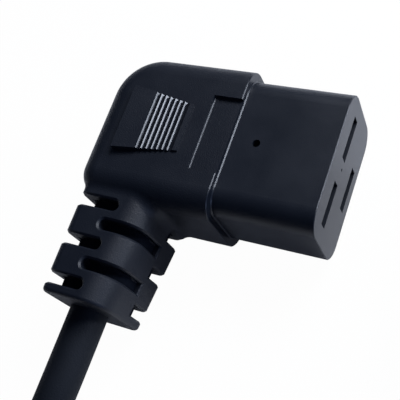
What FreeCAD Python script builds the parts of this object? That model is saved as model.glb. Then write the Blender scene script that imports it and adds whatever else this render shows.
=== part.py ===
import FreeCAD, Part
import math
import os

# Power cord with a right-angled moulded connector, a tied coil of lead and a straight moulded plug.
# Lengths are in millimetres. The connector lies on its broad side over the origin, on the plane z = 0:
# +X points out of its mating face, +Y runs along the long side of that face, and the lead leaves along -Y.
V = FreeCAD.Vector
touching = 1e-4

# Contact layout shared by the connector and the plug
pin_width = 8.0
pin_thickness = 2.0
pin_pitch = 13.0
row_spacing = 8.0
upper_row = 3.0
slot_play = 0.4

# Hard block of the connector, which carries the contacts
block_width = 27.7
block_height = 18.1
block_corner = 4.1
block_reach = 19.3
block_seat = 7.0
block_edge = 0.12
block_lip = 0.7
block_lip_length = 2.0
face_wall = 2.5
dimple_diameter = 1.5
dimple_depth = 1.5
dimple_setback = 14.4
gate_diameter = 0.6
gate_depth = 0.4
gate_across = 0.7
gate_up = 2.2

# Moulded shell of the connector
shell_wall = 1.4
shell_length = 28.4
shell_edge = 4.5
shell_rim = 0.15
shell_foot = 0.2
back_corner = 9.5
neck_corner = 4.6

# Thumb grip on the broad side: a wedge with saw teeth
grip_setback = 6.5
grip_length = 13.1
grip_back_width = 13.4
grip_front_width = 9.7
grip_back_rise = 1.4
grip_front_rise = 0.4
grip_root = 1.0
tooth_count = 7
tooth_start = 5.0
tooth_pitch = 1.03
tooth_ramp = 0.68
tooth_depth = 0.5

# Sunk field on the broad side, open at the front rim
field_length = 5.7
field_width = 15.3
field_depth = 0.8
field_cove = 0.6

# Strain relief: distances to its back and front are taken from the lead's axis
axis_inset = 8.6
relief_length = 20.5
relief_height = 18.0
relief_back = 6.6
relief_front_root = 9.0
relief_front_tip = 6.9
relief_sharp = 2.0
relief_round = 5.0
relief_root = 7.0
relief_rim = 0.8
relief_tip = 1.4
neck_blend = 2.5
slot_first = 1.8
slot_pitch = 3.95
slot_width = 2.15
slot_depth_back = 1.8
slot_depth_front = 1.2
slot_depth_broad = 3.0
slot_floor_sharp = 1.5
slot_floor_round = 5.0
slot_edge = 0.35
slot_offset = 0.3
slot_past_middle = 1.5
slot_short_of_middle = 2.3
slot_overlap = 1.15

# Lead and its three cores
cord_diameter = 7.5
core_diameter = 2.9
core_gap = 0.1
core_bend = 4.0
sheath_inset = 8.4
arc_share = 0.45
lead_run = 22.0
lead_landing = 17.0
lead_sway = 3.5
tail_start = 10.0
tail_rise = 13.9
tail_run = 14.0
tail_sway = 1.8

# Spring contacts and the barrels that hold the cores
sleeve_wall = 0.5
sleeve_play = 0.6
sleeve_length = 13.0
sleeve_slit = 2.4
pocket_play = 0.3
strap_width = 3.0
strap_length = 3.0
barrel_wall = 0.5
barrel_length = 6.0

# Coil of the stored length, and its tie
coil_radius = 39.1
coil_columns = 3
coil_layers = 2
stub_length = 27.0
stub_play = 0.1
leave_angle = 15.0
tie_angle = 285.0
tie_width = 12.0
tie_thickness = 0.8

# Straight plug at the far end
plug_wall = 2.0
plug_play = 0.35
plug_cavity = 18.0
plug_carrier = 7.0
plug_back = 17.0
plug_edge = 3.0
plug_rim = 0.5
pin_reach = 16.0
pin_tail = 2.0
pin_lead_in = 0.6

# Places that follow from the sizes above
half_width = block_width / 2 + shell_wall
half_height = block_height / 2 + shell_wall
face_x = (block_reach + shell_length) / 2
shell_x = face_x - block_reach
back_x = shell_x - shell_length
block_back_x = shell_x - block_seat
block_y = relief_length / 2
neck_y = block_y - half_width
tip_y = neck_y - relief_length
axis_x = back_x + axis_inset
axis_z = half_height
top_z = 2 * half_height
lying_z = cord_diameter / 2
sleeve_width = pin_width + sleeve_play + 2 * sleeve_wall
sleeve_height = pin_thickness + sleeve_play + 2 * sleeve_wall
barrel_diameter = core_diameter + 2 * barrel_wall
core_circle = (core_diameter + core_gap) / math.sqrt(3)
plug_grow = 2 * (plug_play + plug_wall)
plug_half_height = (block_height + plug_grow) / 2
slot_room = relief_length - relief_tip - slot_first - slot_width / 2
slot_count = 1 + int(slot_room / slot_pitch)

# Contact places as (name, across the face, up the face) and core places in the lead as angles
contacts = [
    ("line", pin_pitch / 2, upper_row, 150),
    ("neutral", -pin_pitch / 2, upper_row, 30),
    ("earth", 0, upper_row - row_spacing, 270),
]

# Lead from the end of its sheath inside the connector to the coil, by hand
sheath_y = neck_y - sheath_inset
lead_route = [
    V(axis_x, sheath_y, axis_z),
    V(axis_x, sheath_y - lead_run, axis_z),
    V(axis_x - lead_sway, sheath_y - 2 * lead_run, lying_z),
    V(axis_x - lead_sway, sheath_y - 2 * lead_run - lead_landing, lying_z),
]

# Coil beside the end of that route
column_shift = cord_diameter * (coil_columns - 1) / 2
outer_turn = coil_radius + column_shift
coil_outside = outer_turn + cord_diameter / 2
coil_inside = coil_radius - column_shift - cord_diameter / 2
coil_height = coil_layers * cord_diameter
coil_x = lead_route[-1].x + outer_turn
coil_y = lead_route[-1].y - stub_length
coil_top_z = coil_height - cord_diameter / 2
bevel_gain = 2 - math.sqrt(2)

# Tail from the coil to the end of the sheath inside the plug, by hand
leave_turn = math.radians(leave_angle)
leave_way = V(-math.sin(leave_turn), math.cos(leave_turn), 0)
leave_point = V(coil_x + outer_turn * leave_way.y, coil_y - outer_turn * leave_way.x, coil_top_z)
stub_end = leave_point + leave_way * stub_length
tail_bend = stub_end + leave_way * tail_start
tail_route = [
    stub_end,
    tail_bend,
    V(tail_bend.x - tail_sway, tail_bend.y + tail_rise, plug_half_height),
    V(tail_bend.x - tail_sway, tail_bend.y + tail_rise + tail_run, plug_half_height),
]
plug_x = tail_route[-1].x
plug_rear_y = tail_route[-1].y + sheath_inset
carrier_y = plug_rear_y + plug_back
mouth_y = carrier_y + plug_carrier + plug_cavity


def box(x0, x1, y0, y1, z0, z1):
    """Box between two opposite corners."""
    return Part.makeBox(x1 - x0, y1 - y0, z1 - z0, V(x0, y0, z0))


def rounded_outline(corners):
    """Closed outline with an arc of its own radius at each corner point."""
    edges = []
    joints = []
    for i, (point, radius) in enumerate(corners):
        before = (corners[i - 1][0] - point).normalize()
        after = (corners[(i + 1) % len(corners)][0] - point).normalize()
        half = before.getAngle(after) / 2
        reach = radius / math.tan(half)
        start = point + before * reach
        finish = point + after * reach
        joints.append((start, finish))
        if radius > 0:
            inward = (before + after).normalize()
            middle = point + inward * (radius / math.sin(half) - radius)
            edges.append(Part.Arc(start, middle, finish).toShape())
    for i, (start, finish) in enumerate(joints):
        edges.append(Part.LineSegment(joints[i - 1][1], start).toShape())
    return Part.Wire(Part.__sortEdges__(edges))


def bar_outline(centre, width_axis, up, width, height, corner):
    """Rounded rectangle about a centre."""
    signs = ((-1, -1), (1, -1), (1, 1), (-1, 1))
    corners = [(centre + width_axis * (s * width / 2) + up * (t * height / 2), corner) for s, t in signs]
    return rounded_outline(corners)


def rounded_bar(centre, along, width_axis, width, height, corner):
    """Bar with rounded long edges, from the centre of one end along a run."""
    up = along.cross(width_axis).normalize()
    return Part.Face(bar_outline(centre, width_axis, up, width, height, corner)).extrude(along)


def edges_at(shape, axis, value):
    """Edges whose whole length lies in the plane where the given coordinate has the value."""
    found = []
    for edge in shape.Edges:
        ends = (getattr(edge.BoundBox, axis + "Min"), getattr(edge.BoundBox, axis + "Max"))
        if max(abs(end - value) for end in ends) < touching:
            found.append(edge)
    return found


def meeting_edges(joined, first, second):
    """Edges of a fused shape along which its two solids meet."""
    found = []
    for edge in joined.Edges:
        middle = Part.Vertex(edge.valueAt((edge.FirstParameter + edge.LastParameter) / 2))
        if max(first.distToShape(middle)[0], second.distToShape(middle)[0]) < touching:
            found.append(edge)
    return found


def rim_edges(cut, whole, cutters):
    """Edges that cutters leave on the outside of a solid."""
    found = []
    for edge in cut.Edges:
        middle = Part.Vertex(edge.valueAt((edge.FirstParameter + edge.LastParameter) / 2))
        if whole.Shells[0].distToShape(middle)[0] < touching:
            if min(cutter.Shells[0].distToShape(middle)[0] for cutter in cutters) < touching:
                found.append(edge)
    return found


def route_path(points):
    """Straight runs joined by tangent arcs, each arc as large as its two runs allow."""
    edges = []
    start = points[0]
    for before, corner, after in zip(points, points[1:], points[2:]):
        back = before - corner
        ahead = after - corner
        reach = arc_share * min(back.Length, ahead.Length)
        half_turn = (math.pi - back.getAngle(ahead)) / 2
        radius = reach / math.tan(half_turn)
        first = corner + back.normalize() * reach
        last = corner + ahead.normalize() * reach
        inward = (back + ahead).normalize()
        middle = corner + inward * (radius / math.cos(half_turn) - radius)
        edges.append(Part.LineSegment(start, first).toShape())
        edges.append(Part.Arc(first, middle, last).toShape())
        print("bend radius", round(radius, 1))
        start = last
    edges.append(Part.LineSegment(start, points[-1]).toShape())
    return Part.Wire(edges)


def tube(points, diameter):
    """Round rod along a route."""
    path = route_path(points)
    ring = Part.makeCircle(diameter / 2, points[0], points[1] - points[0])
    rod = path.makePipeShell([Part.Wire(ring)], True, False)
    section = math.pi * diameter ** 2 / 4
    print("rod length", round(path.Length, 1), "volume ratio", round(rod.Volume / (section * path.Length), 6))
    return rod


def core_rod(points):
    """Insulated core in straight runs that meet in mitres."""
    mitred = 1
    ring = Part.makeCircle(core_diameter / 2, points[0], points[1] - points[0])
    return Part.makePolygon(points).makePipeShell([Part.Wire(ring)], True, False, mitred)


def block_envelope():
    """Outside of the hard block, with the lip that locks it in the shell."""
    across = V(0, 1, 0)
    centre = V(block_back_x, block_y, axis_z)
    run = V(face_x - block_back_x, 0, 0)
    bar = rounded_bar(centre, run, across, block_width, block_height, block_corner)
    bar = bar.makeChamfer(block_edge, edges_at(bar, "X", face_x))
    lip_width = block_width + 2 * block_lip
    lip_height = block_height + 2 * block_lip
    lip_corner = block_corner + block_lip
    lip = rounded_bar(centre, V(block_lip_length, 0, 0), across, lip_width, lip_height, lip_corner)
    return bar.fuse(lip).removeSplitter()


def contact_floor(up):
    """Height of the pocket floor that a contact rests on."""
    return axis_z + up - sleeve_height / 2


def connector_insert():
    """Hard block with blade slots, contact pockets, a dimple on one side and a gate mark on its face."""
    block = block_envelope()
    slot_reach = (pin_width + slot_play) / 2
    slot_rise = (pin_thickness + slot_play) / 2
    pocket_reach = sleeve_width / 2 + pocket_play
    pocket_height = max(sleeve_height, barrel_diameter) + pocket_play
    wall_x = face_x - face_wall
    for name, across, up, angle in contacts:
        y = block_y + across
        z = axis_z + up
        floor = contact_floor(up)
        slot = box(wall_x, face_x, y - slot_reach, y + slot_reach, z - slot_rise, z + slot_rise)
        pocket = box(block_back_x, wall_x, y - pocket_reach, y + pocket_reach, floor, floor + pocket_height)
        block = block.cut(slot.fuse(pocket))
    dimple_z = axis_z + block_height / 2 - dimple_depth
    dimple_place = V(face_x - dimple_setback, block_y, dimple_z)
    dimple = Part.makeCylinder(dimple_diameter / 2, dimple_depth, dimple_place)
    gate_place = V(face_x - gate_depth, block_y + gate_across, axis_z + gate_up)
    gate = Part.makeCylinder(gate_diameter / 2, gate_depth, gate_place, V(1, 0, 0))
    return block.cut([dimple, gate])


def spring_contact(across, up):
    """Slit sleeve that takes a blade, on a strap that ends in the barrel round a core."""
    y = block_y + across
    floor = contact_floor(up)
    front = face_x - face_wall
    rear = front - sleeve_length
    base = floor + sleeve_wall
    top = floor + sleeve_height
    outer = sleeve_width / 2
    inner = outer - sleeve_wall
    sleeve = box(rear, front, y - outer, y + outer, floor, top)
    sleeve = sleeve.cut(box(rear, front, y - inner, y + inner, base, top - sleeve_wall))
    sleeve = sleeve.cut(box(rear, front, y - sleeve_slit / 2, y + sleeve_slit / 2, base, top))
    end_x = rear - strap_length - barrel_length
    strap = box(end_x, rear, y - strap_width / 2, y + strap_width / 2, floor, base)
    centre = V(end_x, y, floor + barrel_diameter / 2)
    barrel = Part.makeCylinder(barrel_diameter / 2, barrel_length, centre, V(1, 0, 0))
    bore = Part.makeCylinder(core_diameter / 2, barrel_length, centre, V(1, 0, 0))
    return sleeve.fuse(strap).fuse(barrel).cut(bore).removeSplitter()


def core_place(angle):
    """Offset of a core from the lead's axis, inside the sheath."""
    turn = math.radians(angle)
    return V(core_circle * math.cos(turn), 0, core_circle * math.sin(turn))


def connector_core(across, up, angle):
    """Insulated core from its barrel, round the corner of the shell, to the end of the sheath."""
    y = block_y + across
    z = contact_floor(up) + barrel_diameter / 2
    barrel_x = face_x - face_wall - sleeve_length - strap_length
    end = lead_route[0] + core_place(angle)
    first = V(end.x + core_bend, y, z)
    last = V(end.x, y - core_bend, z)
    neck = V(end.x, neck_y, end.z)
    return core_rod([V(barrel_x, y, z), first, last, neck, end])


def relief_front(down):
    """Distance from the lead's axis to the front of a strain relief, at a distance down from the wall."""
    return relief_front_root + (relief_front_tip - relief_front_root) * down / relief_length


def relief_section(axis, down, insets, sharp, rounded):
    """Outline across a strain relief, set in from its sides; opposite corners are alike."""
    inset_back, inset_front, inset_broad = insets
    y = axis.y - down
    back = axis.x - relief_back + inset_back
    ahead = axis.x + relief_front(down) - inset_front
    low = axis.z - relief_height / 2 + inset_broad
    high = axis.z + relief_height / 2 - inset_broad
    corners = [
        (V(back, y, high), sharp),
        (V(ahead, y, high), rounded),
        (V(ahead, y, low), sharp),
        (V(back, y, low), rounded),
    ]
    return rounded_outline(corners)


def relief_bar(axis, insets, sharp, rounded):
    """Tapered bar of a strain relief, from inside the housing to its tip; axis is its point on the wall."""
    inner = relief_section(axis, -relief_root, insets, sharp, rounded)
    tip = relief_section(axis, relief_length, insets, sharp, rounded)
    return Part.makeLoft([inner, tip], True, True)


def relief_fin(axis, level, side, up):
    """Cutter for one slot: a round end near the middle of the broad side, open past one side of the bar.
    Round the bar's well-rounded corners it runs past the middle height, round the others it stops short."""
    down = slot_first + level * slot_pitch
    y = axis.y - down
    half = slot_width / 2
    middle = (relief_front(down) - relief_back) / 2 + slot_offset
    end_x = axis.x + middle - side * (slot_overlap - half)
    far_x = axis.x + side * (relief_front_root + relief_back)
    end_z = axis.z + up * (-slot_past_middle if side == up else slot_short_of_middle)
    far_z = axis.z + up * relief_height
    x0, x1 = sorted((end_x, far_x))
    z0, z1 = sorted((end_z, far_z))
    plate = box(x0, x1, y - half, y + half, z0, z1)
    return plate.fuse(Part.makeCylinder(half, relief_height, V(end_x, y, axis.z), V(0, 0, up)))


def with_relief(housing, axis):
    """Housing with a strain relief blended on; its slots change corners from level to level."""
    bar = relief_bar(axis, (0, 0, 0), relief_sharp, relief_round)
    joined = housing.fuse(bar).removeSplitter()
    joined = joined.makeFillet(neck_blend, meeting_edges(joined, housing, bar))
    joined = joined.makeFillet(relief_rim, edges_at(joined, "Y", axis.y - relief_length))
    depths = (slot_depth_back, slot_depth_front, slot_depth_broad)
    core = relief_bar(axis, depths, slot_floor_sharp, slot_floor_round)
    fins = []
    for level in range(slot_count):
        side = 1 if level % 2 else -1
        fins.append(relief_fin(axis, level, side, 1).cut(core))
        fins.append(relief_fin(axis, level, -side, -1).cut(core))
    slotted = joined.cut(fins)
    return slotted.makeChamfer(slot_edge, rim_edges(slotted, joined, fins))


def thumb_grip():
    """Wedge that narrows and sinks towards the front, with saw teeth that stop a thumb pulling back."""
    rear = back_x + grip_setback
    front = rear + grip_length

    def crest(x):
        return top_z + grip_back_rise + (grip_front_rise - grip_back_rise) * (x - rear) / grip_length

    low = top_z - grip_root
    side = [V(rear, 0, low), V(rear, 0, crest(rear))]
    for tooth in range(tooth_count):
        peak = rear + tooth_start + tooth * tooth_pitch
        foot = peak + tooth_pitch - tooth_ramp
        side += [V(peak, 0, crest(peak)), V(foot, 0, crest(foot) - tooth_depth)]
    last = rear + tooth_start + tooth_count * tooth_pitch
    side += [V(last, 0, crest(last)), V(front, 0, crest(front)), V(front, 0, low), V(rear, 0, low)]
    half_back = grip_back_width / 2
    half_front = grip_front_width / 2
    profile = Part.Face(Part.makePolygon(side)).extrude(V(0, grip_back_width, 0))
    profile.translate(V(0, block_y - half_back, 0))
    plan = [V(rear, -half_back, 0), V(front, -half_front, 0), V(front, half_front, 0), V(rear, half_back, 0)]
    plan = [point + V(0, block_y, low) for point in plan]
    taper = Part.Face(Part.makePolygon(plan + plan[:1])).extrude(V(0, 0, grip_root + grip_back_rise))
    return profile.common(taper)


def shell_blank():
    """Outside of the moulded shell without its strain relief."""
    corners = [
        (V(shell_x, neck_y, 0), 0),
        (V(shell_x, block_y + half_width, 0), 0),
        (V(back_x, block_y + half_width, 0), back_corner),
        (V(back_x, neck_y, 0), neck_corner),
    ]
    prism = Part.Face(rounded_outline(corners)).extrude(V(0, 0, top_z))
    rims = edges_at(prism, "Z", 0) + edges_at(prism, "Z", top_z)
    shoulder = edges_at(prism, "X", shell_x)
    rims = [edge for edge in rims if not any(edge.isSame(other) for other in shoulder)]
    shell = prism.makeFillet(shell_edge, rims)
    return shell.makeChamfer(shell_rim, edges_at(shell, "X", shell_x))


def sunk_field():
    """Cutter for the shallow field on the broad side, with a cove at its inner end."""
    inner_x = shell_x - field_length
    floor = top_z - field_depth
    field = box(inner_x, shell_x, block_y - field_width / 2, block_y + field_width / 2, floor, top_z)
    at_floor = edges_at(field, "Z", floor)
    cove = [edge for edge in edges_at(field, "X", inner_x) if any(edge.isSame(other) for other in at_floor)]
    return field.makeFillet(field_cove, cove)


def shell_bead():
    """Sloped bead at the foot of the shoulder, where the shell meets the hard block."""
    outlines = []
    for reach, grow in ((0, shell_foot), (shell_foot, 0)):
        centre = V(shell_x + reach, block_y, axis_z)
        width = block_width + 2 * grow
        height = block_height + 2 * grow
        outlines.append(bar_outline(centre, V(0, 1, 0), V(0, 0, 1), width, height, block_corner + grow))
    return Part.makeLoft(outlines, True, True)


def connector_body(block, cores, lead):
    """Shell moulded over the hard block, the cores and the end of the lead, with its strain relief."""
    body = with_relief(shell_blank(), V(axis_x, neck_y, axis_z))
    body = body.fuse([thumb_grip(), shell_bead()])
    return body.cut([sunk_field(), block, lead] + cores).removeSplitter()


def ring_section(grow, lift):
    """Outline across the coil, grown by a wall and lifted off the floor; bevels touch the corner strands."""
    low_x = coil_x + coil_inside - grow
    high_x = coil_x + coil_outside + grow
    high_z = coil_height + grow
    bevel = bevel_gain * (cord_diameter / 2 + grow)
    bottom = [V(low_x + bevel, coil_y, lift), V(high_x - bevel, coil_y, lift)]
    outside = [V(high_x, coil_y, lift + bevel), V(high_x, coil_y, high_z - bevel)]
    top = [V(high_x - bevel, coil_y, high_z), V(low_x + bevel, coil_y, high_z)]
    inside = [V(low_x, coil_y, high_z - bevel), V(low_x, coil_y, lift + bevel)]
    return Part.makePolygon(bottom + outside + top + inside + bottom[:1])


def coil_tie():
    """Strap once round the bundle of turns, flush with the floor."""
    loop = Part.Face([ring_section(tie_thickness, 0), ring_section(0, tie_thickness)])
    loop.validate()
    sweep = math.degrees(tie_width / coil_radius)
    axis_point = V(coil_x, coil_y, 0)
    loop.rotate(axis_point, V(0, 0, 1), tie_angle - sweep / 2)
    return loop.revolve(axis_point, V(0, 0, 1), sweep)


def cord_coil(tie):
    """Outer shape of the wound turns, with the straight starts where the lead and the tail leave it."""
    ring = Part.Face(ring_section(0, 0)).revolve(V(coil_x, coil_y, 0), V(0, 0, 1), 360)
    stub_radius = (cord_diameter - stub_play) / 2
    enter_point = V(coil_x - outer_turn, coil_y, lying_z)
    for start, way in ((enter_point, V(0, 1, 0)), (leave_point, leave_way)):
        ring = ring.fuse(Part.makeCylinder(stub_radius, stub_length, start, way))
    return ring.cut(tie)


def plug_bar(y0, y1, grow):
    """Bar along the plug's axis with the section of the connector's block, grown all round."""
    centre = V(plug_x, y0, plug_half_height)
    width = block_width + 2 * grow
    height = block_height + 2 * grow
    return rounded_bar(centre, V(0, y1 - y0, 0), V(1, 0, 0), width, height, block_corner + grow)


def plug_pin(across, up):
    """Blade with a bevelled nose and, behind the carrier, the barrel round a core."""
    x = plug_x + across
    z = plug_half_height + up
    nose_y = carrier_y + plug_carrier + pin_reach
    root_y = carrier_y - pin_tail
    reach = pin_width / 2
    rise = pin_thickness / 2
    blade = box(x - reach, x + reach, root_y, nose_y, z - rise, z + rise)
    blade = blade.makeChamfer(pin_lead_in, edges_at(blade, "Y", nose_y))
    end = V(x, root_y - barrel_length, z)
    barrel = Part.makeCylinder(barrel_diameter / 2, barrel_length, end, V(0, 1, 0))
    bore = Part.makeCylinder(core_diameter / 2, barrel_length, end, V(0, 1, 0))
    return blade.fuse(barrel.cut(bore)).removeSplitter()


def plug_core(across, up, angle):
    """Insulated core from its barrel to the end of the sheath in the plug."""
    barrel_y = carrier_y - pin_tail
    start = V(plug_x + across, barrel_y, plug_half_height + up)
    end = tail_route[-1] + core_place(angle)
    behind = V(start.x, barrel_y - barrel_length - core_diameter, start.z)
    neck = V(end.x, (plug_rear_y + end.y) / 2, end.z)
    return core_rod([start, behind, neck, end])


def plug_pin_carrier(pins):
    """Hard plate at the bottom of the plug's mouth that holds the blades."""
    return plug_bar(carrier_y, carrier_y + plug_carrier, plug_play).cut(pins)


def plug_body(pins, cores, tail):
    """Moulded housing of the plug: shroud round the blades, solid back and strain relief."""
    body = plug_bar(plug_rear_y, mouth_y, plug_play + plug_wall)
    body = body.makeFillet(plug_edge, edges_at(body, "Y", plug_rear_y))
    body = body.makeChamfer(plug_rim, edges_at(body, "Y", mouth_y))
    body = with_relief(body, V(plug_x, plug_rear_y, plug_half_height))
    mouth = plug_bar(carrier_y, mouth_y, plug_play)
    return body.cut([mouth, tail] + pins + cores)


def build():
    """All pieces by name."""
    pieces = {}
    lead = tube(lead_route, cord_diameter)
    tail = tube(tail_route, cord_diameter)
    cores = []
    pins = []
    plug_cores = []
    for name, across, up, angle in contacts:
        pieces["contact_" + name] = spring_contact(across, up)
        cores.append(connector_core(across, up, angle))
        pieces["core_" + name] = cores[-1]
        pins.append(plug_pin(across, up))
        pieces["plug_pin_" + name] = pins[-1]
        plug_cores.append(plug_core(across, up, 180 - angle))
        pieces["plug_core_" + name] = plug_cores[-1]
    pieces["connector_insert"] = connector_insert()
    pieces["connector_body"] = connector_body(block_envelope(), cores, lead)
    pieces["cord_lead"] = lead
    pieces["coil_tie"] = coil_tie()
    pieces["cord_coil"] = cord_coil(pieces["coil_tie"])
    pieces["cord_tail"] = tail
    pieces["plug_pin_carrier"] = plug_pin_carrier(pins)
    pieces["plug_body"] = plug_body(pins, plug_cores, tail)
    return pieces


os.makedirs("parts", exist_ok=True)
for piece_name, piece in build().items():
    solids = piece.Solids
    print(piece_name, len(solids), "solid", piece.isValid(), round(piece.Volume, 1))
    shape = solids[0] if len(solids) == 1 else piece
    shape.exportStep("parts/" + piece_name + ".step")
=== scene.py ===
import math
import bpy
import numpy as np
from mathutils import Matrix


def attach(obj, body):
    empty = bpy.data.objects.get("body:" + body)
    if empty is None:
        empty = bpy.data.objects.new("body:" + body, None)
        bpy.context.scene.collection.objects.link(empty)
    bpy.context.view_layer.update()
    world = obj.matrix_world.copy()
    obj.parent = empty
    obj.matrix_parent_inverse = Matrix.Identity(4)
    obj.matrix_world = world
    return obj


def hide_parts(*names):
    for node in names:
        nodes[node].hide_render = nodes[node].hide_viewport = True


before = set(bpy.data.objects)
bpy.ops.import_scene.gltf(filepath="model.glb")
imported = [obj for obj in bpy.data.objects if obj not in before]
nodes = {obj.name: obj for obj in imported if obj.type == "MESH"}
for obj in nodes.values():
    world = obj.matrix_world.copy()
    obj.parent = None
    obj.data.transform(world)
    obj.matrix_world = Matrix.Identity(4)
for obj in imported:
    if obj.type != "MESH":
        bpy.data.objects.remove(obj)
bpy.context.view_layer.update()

# Lengths are in millimetres, apart from the declared length of the cord, which is in metres
mm = 0.001

# Camera at the photograph's view, turned by degrees
camera_place = (60.98, -42.80, 135.72)
camera_turn = (25.317, 19.119, 20.508)
camera_lens = 69.19
sensor_width = 36.0
camera_near = 10.0

# Lead: the route points of the solids, the third moved a little so that the visible end falls where the
# photograph shows it, and the steps that make the curve round and smooth
cord_diameter = 7.5
lead_points = [(-15.25, -13.4, 10.45), (-15.25, -35.4, 10.45), (-19.9, -57.4, 3.75), (-18.75, -74.4, 3.75)]
tail_points = [(65.87, -63.26, 11.25), (63.29, -53.6, 11.25), (61.49, -39.7, 11.4), (61.49, -25.7, 11.4)]
section_steps = 8
length_steps = 6

# Coil: places along it are in turns. Its lead joins half a turn from +X, shifts by one diameter in each step
# inwards, up or outwards, and leaves past the last whole half turn by an angle in degrees
coil_centre = (27.85, -101.4)
coil_radius = 39.1
coil_turns = 5.5
leave_angle = 15.0
points_per_turn = 16
lying_height = cord_diameter / 2
join_turn = 0.5
step_turn = 1 / 6
inward_ends = (1, 2)
climb_start = 2 + 2 / 3
outward_starts = (3.5, 4.5)

# Table and surround: how white the table is to the camera and in reflections, and the surround's light
floor_reach = 3000.0
floor_white = 0.98
floor_mirrored = 0.06
floor_paint = "#f4f4f4"
world_strength = 0.06
world_colour = "#a9c2ff"
white = "#ffffff"

# Lamps, as (name, place, point aimed at, width, height, watts, colour)
lamps = [
    ("low_window", (290, 135, 105), (0, 10, 20), 66, 110, 0.65, "#e6efff"),
    ("high_window", (150, 280, 290), (20, 10, 0), 260, 200, 2.3, "#eef3ff"),
    ("front_fill", (310, -260, 110), (0, 0, 10), 200, 120, 0.2, "#b4caff"),
    ("over_front", (260, -60, 260), (20, 0, 0), 200, 200, 0.08, "#b4caff"),
]

# Clouds in moulded plastic: their size, the noise at their two ends, and how far the roughness goes with them
cloud_size = 9.0
cloud_low = 0.3
cloud_high = 0.7
rough_spread = 0.05

# Grip of the connector: the steep faces of its ridges, with ramps between them, and the box that holds them
ridge_first = -12.35
ridge_pitch = 1.03
ridge_face = 0.35
ridge_count = 7
grip_sides = (3.0, 17.5)
grip_heights = (20.93, 23.0)

# Slots of the strain relief: their places along Y, and the box of their floors, which tapers towards the tip
# and holds painted shade
slot_first = -6.8
slot_pitch = 3.95
slot_half = 1.12
slot_count = 5
slot_back = -20.2
slot_front = -7.55
slot_taper = 0.1024
slot_heights = (4.3, 16.55)

# Places with another finish than the grain, where the low specular level of the ramps and slot floors is
# painted shade:
# looks as (roughness, specular level), and three boxes as (low corner, high corner, look)
first_ridge = (0.29, 0.40)
other_ridge = (0.22, 0.40)
# Ramps between the ridges: painted shade, a specular level cut so that the grooves between the ridges stay
# dark
ramp_painted_shade = (0.62, 0.20)
# Slot floors: painted shade, a specular level cut so that the slots stay dark deep inside
slot_floor_painted_shade = (0.80, 0.05)
field_cove = ((-1.3, 2.5, 20.15), (-0.7, 18.0, 20.87), (0.34, 0.40))
shoulder_rim = ((4.35, -6.0, -1.0), (5.0, 26.0, 22.0), (0.28, 0.40))
mating_face = ((23.84, -4.0, 0.0), (24.0, 25.0, 21.0), (0.34, 0.40))

# Drawn metal: its lines, how much smoother and rougher they make it, and the size of its stains
line_length = 5.0
line_width = 0.5
line_depth = 0.02
line_smoother = 0.08
line_rougher = 0.12
stain_size = 3.0

# Woven strap: distance between its warp ridges and between its weft steps, their depth, and its two blacks
warp_spacing = 0.7
weft_spacing = 0.5
weave_depth = 0.15
weave_low = "#0b0b0c"
weave_high = "#1e1f21"

# Insulation of the cores, dark and light
insulation = {
    "line": ("#5a3a22", "#6b4529"),
    "neutral": ("#1f4f8c", "#2a61a5"),
    "earth": ("#4b7d2a", "#5f9a33"),
}


def place_camera():
    """Camera that frames the connector as the photograph does."""
    lens = bpy.data.cameras.new("photo_view")
    lens.sensor_width = sensor_width
    lens.lens = camera_lens
    lens.clip_start = camera_near * mm
    camera = bpy.data.objects.new("photo_view", lens)
    camera.location = [v * mm for v in camera_place]
    camera.rotation_euler = [math.radians(v) for v in camera_turn]
    bpy.context.scene.collection.objects.link(camera)
    bpy.context.scene.camera = camera


def ramp(turn, start):
    """Smooth step along the coil: 0 before its start, 1 a step's length after it, 3t^2 - 2t^3 between."""
    t = np.clip((turn - start) / step_turn, 0, 1)
    return t * t * (3 - 2 * t)


def coil_points():
    """Corners of a polygon round the coil whose sides touch the turns, so the first is half a side before
    the start: radius of a corner = radius of the turn / cos(half a side). The lead winds inwards on the floor
    in three turns, steps up at the innermost one and winds outwards on top."""
    turns = coil_turns + leave_angle / 360
    sides = round(turns * points_per_turn)
    side = turns / sides
    turn = np.arange(-0.5, sides + 1) * side
    inward = sum(ramp(turn, end - step_turn) for end in inward_ends)
    outward = sum(ramp(turn, start) for start in outward_starts)
    radius = coil_radius + cord_diameter * (1 - inward + outward)
    height = lying_height + cord_diameter * ramp(turn, climb_start)
    angle = 2 * np.pi * (turn + join_turn)
    corner = radius / np.cos(np.pi * side)
    x = coil_centre[0] + corner * np.cos(angle)
    y = coil_centre[1] + corner * np.sin(angle)
    return np.stack([x, y, height], axis=1)


def lay_cord():
    """The lead as one round curve: the route out of the connector, the coil, and the route into the plug.
    Its points carry the lead's radius, times a bevel of 1, because a curve's box grows by that radius."""
    points = np.concatenate([lead_points, coil_points(), tail_points]) * mm
    curve = bpy.data.curves.new("lead", "CURVE")
    curve.dimensions = "3D"
    curve.bevel_depth = 1.0
    curve.bevel_resolution = section_steps
    curve.use_fill_caps = True
    spline = curve.splines.new("NURBS")
    spline.points.add(len(points) - 1)
    spline.points.foreach_set("co", np.column_stack([points, np.ones(len(points))]).ravel())
    spline.points.foreach_set("radius", np.full(len(points), cord_diameter / 2 * mm))
    spline.order_u = 3
    spline.use_endpoint_u = True
    spline.resolution_u = length_steps
    lead = bpy.data.objects.new("lead", curve)
    bpy.context.scene.collection.objects.link(lead)
    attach(lead, "root")
    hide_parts("cord_lead", "cord_coil", "cord_tail")
    return lead


def linear(hex_colour):
    """sRGB hex to linear red, green, blue and an alpha of 1."""
    values = [int(hex_colour[i:i + 2], 16) / 255 for i in (1, 3, 5)]
    return [v / 12.92 if v <= 0.04045 else ((v + 0.055) / 1.055) ** 2.4 for v in values] + [1.0]


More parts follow.
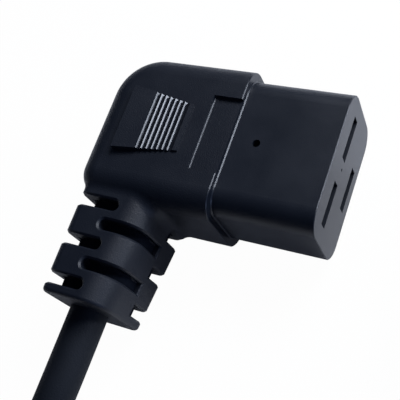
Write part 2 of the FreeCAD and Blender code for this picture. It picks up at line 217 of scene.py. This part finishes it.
def add(tree, kind, inputs=None, **settings):
    """Node of a kind with its settings; an input given an output socket is linked, any other is set."""
    made = tree.nodes.new(kind)
    for name, value in settings.items():
        setattr(made, name, value)
    for name, value in (inputs or {}).items():
        if isinstance(value, bpy.types.NodeSocket):
            tree.links.new(value, made.inputs[name])
        else:
            made.inputs[name].default_value = value
    return made


def calculate(tree, operation, *values):
    """Result of one operation on numbers."""
    return add(tree, "ShaderNodeMath", dict(enumerate(values)), operation=operation).outputs["Value"]


def choose(tree, share, first, second):
    """Number between two numbers, by a share from 0 to 1."""
    return add(tree, "ShaderNodeMix", {0: share, 2: first, 3: second}, data_type="FLOAT").outputs[0]


def blend(tree, share, first, second):
    """Colour between two sRGB colours, by a share from 0 to 1."""
    colours = {0: share, 6: linear(first), 7: linear(second)}
    return add(tree, "ShaderNodeMix", colours, data_type="RGBA").outputs[2]


def new_material(name):
    """Material with an empty node tree, and that tree."""
    material = bpy.data.materials.new(name)
    material.use_nodes = True
    material.node_tree.nodes.clear()
    return material, material.node_tree


def grip_slice(start, finish, look):
    """Box of the grip between two places along X, with its look."""
    return (start, grip_sides[0], grip_heights[0]), (finish, grip_sides[1], grip_heights[1]), look


def slot_box(y):
    """Box of the floor of the strain relief's slot at a place along Y, with its look: painted shade, a
    specular level cut so that the slot stays dark.
    """
    front = slot_front + slot_taper * (y - slot_first)
    return (slot_back, y - slot_half, slot_heights[0]), (front, y + slot_half, slot_heights[1]), slot_floor_painted_shade


def connector_finishes():
    """Places where the connector isn't grained: the steep faces of the ridges, polished and the first
    a little less so, the ramps between them, whose low specular level paints the shade of the grooves, the
    floors of the slots, whose lower one paints the shade deep in them, the cove of the sunk field and the rim
    at the shoulder."""
    faces = [ridge_first + step * ridge_pitch for step in range(ridge_count)]
    looks = [first_ridge] + [other_ridge] * (ridge_count - 1)
    ridges = [grip_slice(x, x + ridge_face, look) for x, look in zip(faces, looks)]
    shaded_ramps = [grip_slice(x + ridge_face, x + ridge_pitch, ramp_painted_shade) for x in faces]
    shaded_floors = [slot_box(slot_first - step * slot_pitch) for step in range(slot_count)]
    return ridges + shaded_ramps + shaded_floors + [field_cove, shoulder_rim]


def outside(tree, place, low, high):
    """Mask that is 0 inside a box and 1 outside it, where the largest of |offset from its middle / half its
    side| passes 1."""
    middle = [(a + b) / 2 * mm for a, b in zip(low, high)]
    reach = [(b - a) / 2 * mm for a, b in zip(low, high)]
    offset = add(tree, "ShaderNodeVectorMath", {0: place, 1: middle}, operation="SUBTRACT")
    share = add(tree, "ShaderNodeVectorMath", {0: offset.outputs["Vector"], 1: reach}, operation="DIVIDE")
    away = add(tree, "ShaderNodeVectorMath", {0: share.outputs["Vector"]}, operation="ABSOLUTE")
    parts = add(tree, "ShaderNodeSeparateXYZ", {"Vector": away.outputs["Vector"]}).outputs
    largest = calculate(tree, "MAXIMUM", calculate(tree, "MAXIMUM", parts["X"], parts["Y"]), parts["Z"])
    return calculate(tree, "GREATER_THAN", largest, 1.0)


def moulded_plastic(name, dark, light, grain_size, grain_depth, rough, specular, finishes=()):
    """Moulded plastic: a fine spark-eroded grain that breaks the gloss, and clouds of a slightly different
    shade from the melt. In the boxes given there is no grain, and the look is their own."""
    material, tree = new_material(name)
    place = add(tree, "ShaderNodeTexCoord").outputs["Object"]
    grain = add(tree, "ShaderNodeTexNoise", {"Vector": place, "Scale": 1 / (grain_size * mm), "Detail": 2.0})
    cloud = add(tree, "ShaderNodeTexNoise", {
        "Vector": place,
        "Scale": 1 / (cloud_size * mm),
        "Detail": 4.0,
        "Roughness": 0.6,
    })
    gloss = add(tree, "ShaderNodeMapRange", {
        "Value": cloud.outputs["Fac"],
        "From Min": cloud_low,
        "From Max": cloud_high,
        "To Min": rough - rough_spread,
        "To Max": rough + rough_spread,
    }).outputs["Result"]
    shine = specular
    depth = 1.0
    for low, high, (box_rough, box_specular) in finishes:
        grained = outside(tree, place, low, high)
        gloss = choose(tree, grained, box_rough, gloss)
        shine = choose(tree, grained, box_specular, shine)
        depth = calculate(tree, "MULTIPLY", depth, grained)
    bump = add(tree, "ShaderNodeBump", {
        "Height": grain.outputs["Fac"],
        "Strength": depth,
        "Distance": grain_depth * mm,
    })
    surface = add(tree, "ShaderNodeBsdfPrincipled", {
        "Base Color": blend(tree, cloud.outputs["Fac"], dark, light),
        "Roughness": gloss,
        "Normal": bump.outputs["Normal"],
        "Specular IOR Level": shine,
    })
    add(tree, "ShaderNodeOutputMaterial", {"Surface": surface.outputs["BSDF"]})
    return material


def drawn_metal(name, bright, dull, rough):
    """Drawn and stamped metal: fine lines along the strip and a thin, uneven tarnish."""
    material, tree = new_material(name)
    place = add(tree, "ShaderNodeTexCoord").outputs["Object"]
    along = 1 / (line_length * mm)
    across = 1 / (line_width * mm)
    stretch = add(tree, "ShaderNodeMapping", {"Vector": place, "Scale": (along, across, across)})
    lines = add(tree, "ShaderNodeTexNoise", {
        "Vector": stretch.outputs["Vector"],
        "Scale": 1.0,
        "Detail": 3.0,
    })
    stain = add(tree, "ShaderNodeTexNoise", {"Vector": place, "Scale": 1 / (stain_size * mm), "Detail": 5.0})
    gloss = add(tree, "ShaderNodeMapRange", {
        "Value": lines.outputs["Fac"],
        "To Min": rough - line_smoother,
        "To Max": rough + line_rougher,
    })
    bump = add(tree, "ShaderNodeBump", {
        "Height": lines.outputs["Fac"],
        "Strength": 0.2,
        "Distance": line_depth * mm,
    })
    surface = add(tree, "ShaderNodeBsdfPrincipled", {
        "Base Color": blend(tree, stain.outputs["Fac"], bright, dull),
        "Metallic": 1.0,
        "Roughness": gloss.outputs["Result"],
        "Normal": bump.outputs["Normal"],
    })
    add(tree, "ShaderNodeOutputMaterial", {"Surface": surface.outputs["BSDF"]})
    return material


def weave_bands(tree, place, direction, spacing):
    """Bands at a spacing along one axis: a wave texture has 20 / (2 pi) of them in one unit of its scaled
    place, so scale = 2 pi / 20 / spacing."""
    scale = 2 * math.pi / 20 / (spacing * mm)
    bands = {"Vector": place, "Scale": scale, "Distortion": 0.4}
    return add(tree, "ShaderNodeTexWave", bands, bands_direction=direction).outputs["Fac"]


def woven_strap():
    """Woven nylon strap: warp ridges and weft steps well under a millimetre apart give a soft, dull black."""
    material, tree = new_material("woven_nylon")
    place = add(tree, "ShaderNodeTexCoord").outputs["Object"]
    warp = weave_bands(tree, place, "X", warp_spacing)
    weft = weave_bands(tree, place, "Z", weft_spacing)
    weave = calculate(tree, "MULTIPLY", warp, weft)
    bump = add(tree, "ShaderNodeBump", {"Height": weave, "Strength": 0.8, "Distance": weave_depth * mm})
    surface = add(tree, "ShaderNodeBsdfPrincipled", {
        "Base Color": blend(tree, weave, weave_low, weave_high),
        "Roughness": 0.85,
        "Specular IOR Level": 0.2,
        "Sheen Weight": 0.1,
        "Normal": bump.outputs["Normal"],
    })
    add(tree, "ShaderNodeOutputMaterial", {"Surface": surface.outputs["BSDF"]})
    return material


def dress(material, *names):
    """Give a material to the solids of these names."""
    for name in names:
        nodes[name].material_slots[0].material = material


def lay_floor():
    """White laminate table: white to the camera and a little so in reflections, with the soft, faint shadow
    of what stands on it."""
    reach = floor_reach * mm
    mesh = bpy.data.meshes.new("table")
    corners = [(-reach, -reach, 0), (reach, -reach, 0), (reach, reach, 0), (-reach, reach, 0)]
    mesh.from_pydata(corners, [], [(0, 1, 2, 3)])
    floor = bpy.data.objects.new("table", mesh)
    bpy.context.scene.collection.objects.link(floor)
    material, tree = new_material("white_laminate")
    path = add(tree, "ShaderNodeLightPath").outputs
    direct = calculate(tree, "MULTIPLY", path["Is Camera Ray"], floor_white)
    seen = calculate(tree, "MULTIPLY_ADD", path["Is Glossy Ray"], floor_mirrored, direct)
    paint = add(tree, "ShaderNodeBsdfDiffuse", {"Color": linear(floor_paint)})
    glow = add(tree, "ShaderNodeEmission", {"Color": linear(white), "Strength": 1.0})
    mixed = add(tree, "ShaderNodeMixShader", {
        0: seen,
        1: paint.outputs["BSDF"],
        2: glow.outputs["Emission"],
    })
    add(tree, "ShaderNodeOutputMaterial", {"Surface": mixed.outputs["Shader"]})
    mesh.materials.append(material)


def light_studio():
    """Soft panels round the part and a dim, cool surround that is white to the camera."""
    scene = bpy.context.scene
    for name, place, aim, width, height, watts, colour in lamps:
        lamp = bpy.data.lights.new(name, "AREA")
        lamp.shape = "RECTANGLE"
        lamp.size = width * mm
        lamp.size_y = height * mm
        lamp.energy = watts
        lamp.color = linear(colour)[:3]
        holder = bpy.data.objects.new(name, lamp)
        x, y, z = np.subtract(place, aim)
        holder.location = [v * mm for v in place]
        holder.rotation_euler = (math.atan2(math.hypot(x, y), z), 0, math.atan2(y, x) + math.pi / 2)
        scene.collection.objects.link(holder)
    world = bpy.data.worlds.new("surround")
    world.use_nodes = True
    tree = world.node_tree
    tree.nodes.clear()
    seen = add(tree, "ShaderNodeLightPath").outputs["Is Camera Ray"]
    sky = add(tree, "ShaderNodeBackground", {
        "Color": blend(tree, seen, world_colour, white),
        "Strength": choose(tree, seen, world_strength, 1.0),
    })
    add(tree, "ShaderNodeOutputWorld", {"Surface": sky.outputs["Background"]})
    scene.world = world
    scene.view_settings.view_transform = "Standard"


place_camera()
lead = lay_cord()
lay_floor()
light_studio()

# Soft mouldings: a satin blue-black whose grain spreads each highlight into a sheen. Only the connector's has
# the bright polished ridges, and painted shade on the ramps between them and on its slot floors
soft_pvc = moulded_plastic(
    "moulded_pvc", "#0c1018", "#11161f",
    grain_size=0.22, grain_depth=0.045, rough=0.47, specular=0.40, finishes=connector_finishes(),
)
plug_pvc = moulded_plastic(
    "moulded_pvc_plug", "#0c1018", "#11161f",
    grain_size=0.22, grain_depth=0.045, rough=0.47, specular=0.40,
)
dress(soft_pvc, "connector_body")
dress(plug_pvc, "plug_body")

# Hard block: smoother than the mouldings, so its flat sides show cleaner tones and its mating face a sheen
hard_block = moulded_plastic(
    "moulded_polyamide", "#0e1219", "#131821",
    grain_size=0.16, grain_depth=0.02, rough=0.42, specular=0.40, finishes=[mating_face],
)
dress(hard_block, "connector_insert", "plug_pin_carrier")

# Sheath: matt, so that the lead is an even, soft black
sheath = moulded_plastic(
    "extruded_pvc_sheath", "#0d1118", "#12171e",
    grain_size=0.30, grain_depth=0.05, rough=0.68, specular=0.25,
)
lead.data.materials.append(sheath)

# Contacts: warm metal, seen only down the block's slots. Pins: bright, cool metal in the plug's dark mouth
brass = drawn_metal("drawn_brass", "#d8b56a", "#9c7c3e", rough=0.30)
nickel = drawn_metal("nickel_plated_brass", "#d9d6cf", "#b5b1a8", rough=0.25)
dress(brass, "contact_line", "contact_neutral", "contact_earth")
dress(nickel, "plug_pin_line", "plug_pin_neutral", "plug_pin_earth")

# Strap: a band that is duller than the lead it holds
dress(woven_strap(), "coil_tie")

# Cores: brown, blue and green, hidden inside the mouldings
for conductor, (deep, pale) in insulation.items():
    core = moulded_plastic(
        conductor + "_core_pvc", deep, pale,
        grain_size=0.25, grain_depth=0.008, rough=0.45, specular=0.4,
    )
    dress(core, "core_" + conductor, "plug_core_" + conductor)
